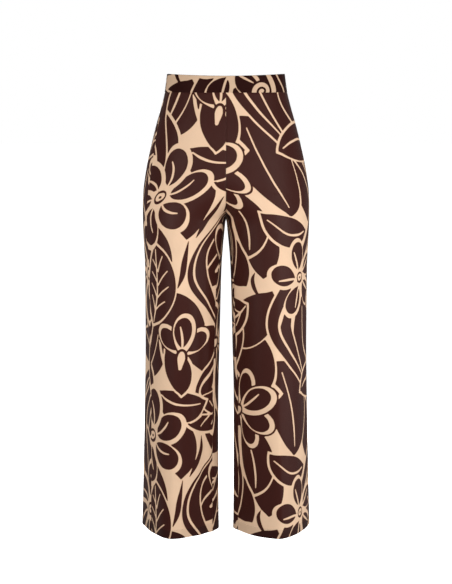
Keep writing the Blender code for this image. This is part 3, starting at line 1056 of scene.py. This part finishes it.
# %% The panel on the flat cloth
GRAIN_LINE = {"front": 18.0, "back": 160.0}    # the angle that runs straight with the cloth
PANEL_PRINT = {          # where each panel's grain line lies on the printed cloth, in metres
    "front_right": (0.36, 0.13), "front_left": (0.03, 0.47),
    "back_right": (0.12, 0.31), "back_left": (0.47, 0.02),
}


def flat_places(start, across, steps):
    """Places on the flat cloth, from each row's distances across and the steps between rows."""
    up = np.concatenate([[0], np.cumsum(steps)])[:, None]
    return np.stack([start[0] + across, start[1] + up + np.zeros_like(across)], axis=-1)


def from_grain_line(word, outwards, angles, place):
    """Each point's distance from the panel's grain line."""
    grain = outwards * GRAIN_LINE[word]
    at_grain = [np.interp(grain, outwards * row, run) for row, run in zip(angles, place)]
    return place - np.array(at_grain)[:, None]


# %% One panel
CLOTH = 0.7 * MM
PANEL_WIDTH = {"front": 0.285, "back": 0.355}    # about the widest, which sets the columns
HEM_EASE = 0.9 * MM      # how much further from each seam the turned-up hem stays
THIN_REVERSE = 0.20      # what the hidden face keeps of its triangles


def leg_panel(word, side):
    """One panel, from the tuck behind the waistband to the top of its turned-up hem."""
    name = word + "_" + side
    outwards = 1 if word == "front" else -1
    mirror = 1 if side == "left" else -1
    drops, inset = panel_rows()
    turned_up = smooth_step(0, 2 * HEM_ROLL, inset)
    first = (HALF_GAP + HEM_EASE * turned_up)[:, None] + EDGE_STEPS[None, :]
    columns = int(PANEL_WIDTH[word] / FINE)
    places, normals, angles, place, length = along_rows(
        drops, *panel_edges(drops, side, word), first, columns, TURNED, outwards
    )
    relief = panel_relief(side, drops, inset, angles, place, length)
    places = places + normals * relief[:, :, None]
    turn_edges_in(places, normals, drops, place, outwards)
    places = (places + (HALF_GAP, 0, 0)) * (mirror, 1, 1)
    keep_sewing_lines(name, places, normals * (mirror, 1, 1), drops, inset)

    across = mirror * outwards * from_grain_line(word, outwards, angles, place)
    flat = flat_places(PANEL_PRINT[name], across, -np.hypot(np.diff(drops), np.diff(inset)))
    # painted shade on the outer face over the turned-up hem, where the cloth lies double
    doubled_shade = smooth_step(HEM_LINE - 0.5 * MM, HEM_LINE + 1.5 * MM, drops) * (1 - turned_up)
    doubled_shade = np.broadcast_to(doubled_shade[:, None], place.shape)
    sheet = lay_on_form(name + "_cloth", places, flat, doubled_shade, mirror == outwards)
    give_thickness(sheet, outside, CLOTH, THIN_REVERSE)

    down = flat[:, :, 1].max() - flat[:, 0, 1]
    flat_size = (float(length.max() + 2 * ALLOWANCE), float(down[-1]))
    return sheet, flat_size, float(np.trapz(length + 2 * ALLOWANCE, down))


# %% Make the four panels
pieces = {}
for wearer_side in ("left", "right"):
    for word in ("front", "back"):
        pieces[word + "_" + wearer_side] = leg_panel(word, wearer_side)
print("leg panels:", ", ".join(pieces))

# %% [markdown]
# ## Thread
#
# The raw edges inside are overlocked: three threads loop round both allowances of a seam and bind
# them into one firm bead, which also closes the seam to light. The turned-up hem is caught with a
# row of small stitches. A bead is a long cylinder with many rings that is laid along the edges, and
# a stitch is one small capsule that is modelled once and copied round each leg.

# %% A matte sewing thread
THREAD_PAINTED_SHADE = 0.45      # painted shade between its turns, as a share of its colour
THREAD_DEPTH = 0.4 * MM


def thread_material(name, colour, loops):
    """Spun thread, with painted shade between its turns; loops is how close its turns lie."""
    material, shader = new_material(name, {
        "Roughness": 0.85, "Specular IOR Level": 0.08, "Sheen Weight": 0.05,
    })
    tree = material.node_tree
    place = new_node(tree, "ShaderNodeTexCoord")
    wave = new_node(tree, "ShaderNodeTexWave", {"Scale": loops, "Distortion": 2.5, "Detail": 2},
                    bands_direction="Z")
    tree.links.new(place.outputs["Object"], wave.inputs["Vector"])
    turns = wave.outputs["Fac"]
    # painted shade: the thread is darker between its turns
    ramp = colour_ramp(tree, turns, tuple(THREAD_PAINTED_SHADE * c for c in colour), colour)
    tree.links.new(ramp.outputs["Color"], shader.inputs["Base Color"])
    tree.links.new(bump(tree, turns, 0.8, THREAD_DEPTH), shader.inputs["Normal"])
    return material


overlock_thread = thread_material("overlock_thread", (0.115, 0.050, 0.036), 130)
hem_thread = thread_material("hem_thread", (0.085, 0.032, 0.022), 900)
print("threads:", overlock_thread.name, "and", hem_thread.name)


# %% Rings along a cylinder
def cut_rings(tube, axis, count):
    """Cut so many rings across a new cylinder that lies along the given axis."""
    bpy.ops.object.mode_set(mode="EDIT")
    bpy.ops.mesh.select_mode(type="EDGE")
    bpy.ops.mesh.select_all(action="DESELECT")
    bpy.ops.object.mode_set(mode="OBJECT")
    vertices = tube.data.vertices
    half_length = max(vertex.co[axis] for vertex in vertices)
    for edge in tube.data.edges:
        low, high = (vertices[end].co[axis] for end in edge.vertices)
        edge.select = abs(high - low) > half_length
    bpy.ops.object.mode_set(mode="EDIT")
    bpy.ops.mesh.subdivide(number_cuts=count)
    bpy.ops.object.mode_set(mode="OBJECT")


# %% Overlocked seams
BEAD_SIDES = 8
BEAD_DEPTH, BEAD_WIDTH = 5.2 * MM, 2.3 * MM     # how far it wraps the edges, and its thickness
BEAD_OVER = 0.8 * MM                            # how far it reaches past them
BEAD_EVERY = 3                                  # one ring to so many rows of the panels


def overlocked_seam(name, first, second, which, rows):
    """A bead round the raw edges of two panels, along the given rows."""
    edges, folds = (
        (of_first[rows] + of_second[rows]) / 2
        for of_first, of_second in zip(raw_edges[first, which], raw_edges[second, which])
    )
    inwards = edges - folds
    inwards /= np.linalg.norm(inwards, axis=1)[:, None]
    across = np.cross(np.gradient(edges, axis=0), inwards)
    across /= np.linalg.norm(across, axis=1)[:, None]
    middle = edges - inwards * (BEAD_DEPTH / 2 - BEAD_OVER)

    bpy.ops.object.select_all(action="DESELECT")
    bpy.ops.mesh.primitive_cylinder_add(vertices=BEAD_SIDES, radius=1, depth=1)
    bead = bpy.context.object
    bead.name = name
    cut_rings(bead, 2, len(edges) - 2)
    for vertex in bead.data.vertices:
        ring = round((0.5 - vertex.co.z) * (len(edges) - 1))
        deep = BEAD_DEPTH * vertex.co.x * inwards[ring]
        wide = BEAD_WIDTH * vertex.co.y * across[ring]
        vertex.co = middle[ring] + 0.5 * (deep + wide)
    bpy.ops.object.mode_set(mode="EDIT")
    bpy.ops.mesh.select_all(action="SELECT")
    bpy.ops.mesh.normals_make_consistent(inside=False)
    bpy.ops.object.mode_set(mode="OBJECT")
    bpy.ops.object.shade_smooth()
    bead.data.materials.append(overlock_thread)
    return bead


drops_of_rows, inset_of_rows = panel_rows()
outer_rows = np.nonzero(inset_of_rows == 0)[0]
above_fork = outer_rows[drops_of_rows[outer_rows] < FORK_DROP][::BEAD_EVERY]
below_fork = outer_rows[drops_of_rows[outer_rows] > FORK_DROP + 1 * MM][::BEAD_EVERY]
whole = outer_rows[::BEAD_EVERY]
SEAMS = [  # its name, the two panels, which of their edges meet, and the rows it runs along
    ("centre_front", "front_left", "front_right", "inner", above_fork),
    ("centre_back", "back_left", "back_right", "inner", above_fork),
    ("inseam_left", "front_left", "back_left", "inner", below_fork),
    ("inseam_right", "front_right", "back_right", "inner", below_fork),
    ("side_left", "front_left", "back_left", "outer", whole),
    ("side_right", "front_right", "back_right", "outer", whole),
]
thread_pieces = [overlocked_seam("overlock_" + seam, *where) for seam, *where in SEAMS]
print("overlocked seams:", len(thread_pieces))

# %% One stitch
STITCH_LENGTH, STITCH_WIDTH = 2.3 * MM, 0.42 * MM
STITCH_EVERY = 3.2 * MM
STITCH_FROM_SEAM = 1.5 * MM


def one_stitch():
    """A small capsule along X, thinner at its ends where the thread dives into the cloth."""
    bpy.ops.object.select_all(action="DESELECT")
    bpy.ops.mesh.primitive_cylinder_add(
        vertices=6, radius=STITCH_WIDTH / 2, depth=STITCH_LENGTH, rotation=(0, math.radians(90), 0)
    )
    stitch = bpy.context.object
    bpy.ops.object.transform_apply(location=False, rotation=True, scale=False)
    cut_rings(stitch, 0, 3)
    for vertex in stitch.data.vertices:
        share = abs(vertex.co.x) / (STITCH_LENGTH / 2)
        vertex.co.y *= 1 - 0.7 * share**3
        vertex.co.z = vertex.co.z * (1 - 0.6 * share**3) + STITCH_WIDTH * (0.20 - 0.55 * share**2)
    bpy.ops.object.shade_smooth()
    return stitch


# %% A row of stitches round each hem
def stitches_along(master, line, outwards):
    """Copies of a stitch along a line, each with its own mesh."""
    length = np.concatenate([[0], np.cumsum(np.linalg.norm(np.diff(line, axis=0), axis=1))])

    def at(place, values):
        return np.array([np.interp(place, length, column) for column in values.T])

    copies = []
    count = int((length[-1] - 2 * STITCH_FROM_SEAM) / STITCH_EVERY)
    for place in STITCH_FROM_SEAM + STITCH_EVERY * (np.arange(count) + 0.5):
        here, ahead, out = at(place, line), at(place + MM, line), at(place, outwards)
        run = (ahead - here) / np.linalg.norm(ahead - here)
        turn_and_place = Matrix((run, np.cross(out, run), out)).transposed().to_4x4()
        turn_and_place.translation = here
        mesh = master.data.copy()
        mesh.transform(turn_and_place)
        copies.append(bpy.data.objects.new("stitch", mesh))
        bpy.context.collection.objects.link(copies[-1])
    return copies


for wearer_side in ("left", "right"):
    master = one_stitch()
    copies = (stitches_along(master, *catch_lines["front_" + wearer_side])
              + stitches_along(master, *catch_lines["back_" + wearer_side]))
    bpy.ops.object.select_all(action="DESELECT")
    for copy in copies:
        copy.select_set(True)
    bpy.context.view_layer.objects.active = copies[0]
    bpy.ops.object.join()
    row = bpy.context.object
    row.name = "hem_stitches_" + wearer_side
    row.data.materials.append(hem_thread)
    bpy.data.objects.remove(master)
    thread_pieces.append(row)
    print(row.name, len(copies), "stitches")

# %% [markdown]
# ## The waistband
#
# A straight strip for the front and one for the back, each folded in half along its top edge and
# sewn to the panels with its raw edges inside. The grid follows that fold: up the outside, over the
# soft top edge and down the inside. It stands a little proud of the panels.

# %% The folded strip, seen from its end
BAND_PROUD = 0.6 * MM
BAND_FOLD = 1.25 * MM    # half the distance between its outside and its inside
BAND_SINK = 0.5 * MM     # towards its side seams
BAND_TURNED = 0.6 * MM   # how far its ends are turned in there
BAND_WAVES = (0.22 * MM, 0.15 * MM)    # how far its folded edge wavers, in long and short waves


def band_profile():
    """Depth and distance outwards of each row of the strip, from its lower edge over the fold."""
    outer, inner = BAND_PROUD, BAND_PROUD - 2 * BAND_FOLD
    low = WAISTBAND_HEIGHT
    rows = [(low - 1.8 * MM, outer - 0.75 * MM), (low - 0.5 * MM, outer - 0.62 * MM),
            (low + 0.05 * MM, outer - 0.30 * MM), (low - 0.5 * MM, outer - 0.05 * MM)]
    rows += [(d, outer) for d in np.linspace(low - 1.6 * MM, BAND_FOLD + 1.2 * MM, 17)]
    rows += [(BAND_FOLD * (1 - math.sin(a)), outer - BAND_FOLD * (1 - math.cos(a)))
             for a in np.radians(np.linspace(0, 180, 9))]
    rows += [(d, inner) for d in np.linspace(BAND_FOLD + 1.2 * MM, low - 2.0 * MM, 17)]
    rows += [(low - 0.9 * MM, inner + 0.1 * MM), (low - 0.5 * MM, inner + 0.4 * MM),
             (low - 1.2 * MM, inner + 0.6 * MM)]
    return np.array(rows).T


def band_relief(depths, out, angles, place, length):
    """How far each point of the strip stands out from the form."""
    facing = 2 * smooth_step(BAND_PROUD - 2 * BAND_FOLD, BAND_PROUD, out)[:, None] - 1
    sink = BAND_SINK * bell(np.minimum(place, length[:, None] - place), SEAM_SOFTNESS) * facing
    sink[:, [0, -1]] += BAND_TURNED * facing
    long_wave, short_wave = np.sin(angles * 0.21 + 1.1), np.sin(angles * 0.47)
    wave = BAND_WAVES[0] * long_wave + BAND_WAVES[1] * short_wave
    return out[:, None] - sink + wave * smooth_step(WAISTBAND_HEIGHT, 0.02, depths)[:, None]


# %% Half of the waistband, from the right side seam to the left one
BAND_CLOTH = 0.55 * MM
BAND_COLUMNS = 150
BAND_PAINTED_SHADE = 1.4       # how much painted shade the doubled strip gets, where a doubled hem has 1
WAIST_DIP = 0.0045       # how much lower the top edge is at the front and the back
BAND_PRINT = {"waistband_front": (0.088, 0.540), "waistband_back": (0.404, 0.212)}


def waistband(word):
    """A strip, folded over its top edge, with its ends turned in."""
    name = "waistband_" + word
    outwards = 1 if word == "front" else -1
    depths, out = band_profile()
    section = sections_at(depths)
    start = (0 if word == "front" else 360) - section["right_seam"]
    first = np.broadcast_to(HALF_GAP + EDGE_STEPS, (len(depths), len(EDGE_STEPS)))
    places, normals, angles, place, length = along_rows(
        depths, start, section["left_seam"], first, BAND_COLUMNS, 1, outwards
    )
    places = places + normals * band_relief(depths, out, angles, place, length)[:, :, None]
    fade = np.clip(1 - depths / WAISTBAND_HEIGHT, 0, None)[:, None]
    places[:, :, 2] -= WAIST_DIP * fade * (1 - (places[:, :, 0] / SECTIONS[0, 1]) ** 2)

    across = outwards * (place - length[:, None] / 2)
    flat = flat_places(BAND_PRINT[name], across, np.hypot(np.diff(depths), np.diff(out)))
    # painted shade over the whole of the doubled strip
    doubled_shade = np.full_like(place, BAND_PAINTED_SHADE)
    # the strip's rows run upwards, so they are turned over
    sheet = lay_on_form(name + "_cloth", places[::-1], flat[::-1], doubled_shade, word == "front")
    give_thickness(sheet, band_crepe, BAND_CLOTH, 1)

    height = flat[:, :, 1].max() - flat[:, :, 1].min()
    flat_size = (float(length.max() + 2 * ALLOWANCE), float(height + 2 * ALLOWANCE))
    return sheet, flat_size, float(length.mean() * height)


for word in ("front", "back"):
    pieces["waistband_" + word] = waistband(word)
print("waistband:", BAND_COLUMNS + 2 * len(EDGE_STEPS), "columns in each half")

# %% [markdown]
# ## Each piece in place of its node
#
# Each piece stands in for its node of the imported model, which is hidden, and rides on the one body.
# The size it was cut to is printed.

for node, (sheet, flat_size, area) in pieces.items():
    band = node.startswith("waistband")
    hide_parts(node)
    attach(sheet, "root")
    [] if band else ["waistband_front_cloth" if "front" in node else "waistband_back_cloth"]
    print(sheet.name, "flat", [round(s, 3) for s in flat_size], "area", round(area, 4),
          "triangles", sum(len(p.vertices) - 2 for p in sheet.data.polygons))

for thread in thread_pieces:
    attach(thread, "root")
print("pieces:", len(pieces), "of cloth and", len(thread_pieces), "of thread")

# %% The two sizes, of the imported model and of the whole scene
[[list(map(float, corner)) for corner in box] for box in (cad_box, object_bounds())]
